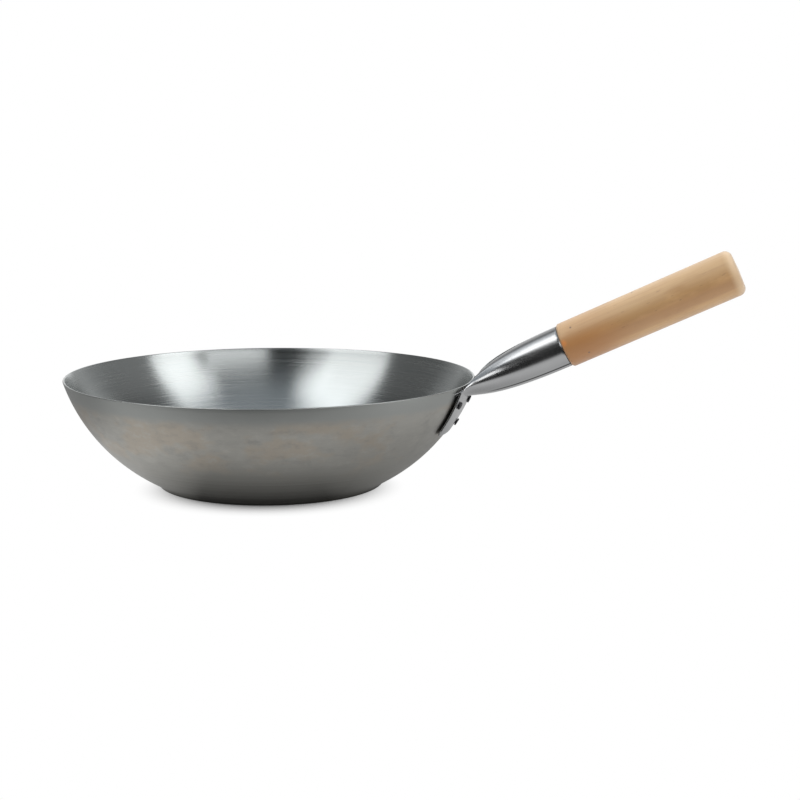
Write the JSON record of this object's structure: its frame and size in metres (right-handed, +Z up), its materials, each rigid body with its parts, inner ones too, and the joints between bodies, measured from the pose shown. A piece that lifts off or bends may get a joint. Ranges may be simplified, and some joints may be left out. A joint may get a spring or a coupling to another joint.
{
  "type": "flat-bottom wok",
  "caption": "Carbon-steel frying bowl with a flat base, a riveted steel socket and a long turned wooden handle, for stir-frying on a hob.",
  "frame": {"origin": "middle of the flat base, on its underside", "axes": "+X along the handle, away from the bowl; +Z up, out of the bowl"},
  "size_m": [0.5394, 0.33, 0.1925],
  "materials": {
    "bowl_steel": "spun carbon steel, brushed round the axis, with a faint heat tint",
    "socket_steel": "bright polished sheet steel",
    "rivet_steel": "dark steel",
    "beech": "pale turned beech, lightly oiled",
    "screw_steel": "plain steel"
  },
  "bodies": {
    "root": {"wok_bowl": "bowl_steel", "handle_socket": "socket_steel", "rivet_1": "rivet_steel", "rivet_2": "rivet_steel", "rivet_3": "rivet_steel", "rivet_4": "rivet_steel", "wooden_handle": "beech", "handle_screw": "screw_steel"}
  },
  "joints": []
}
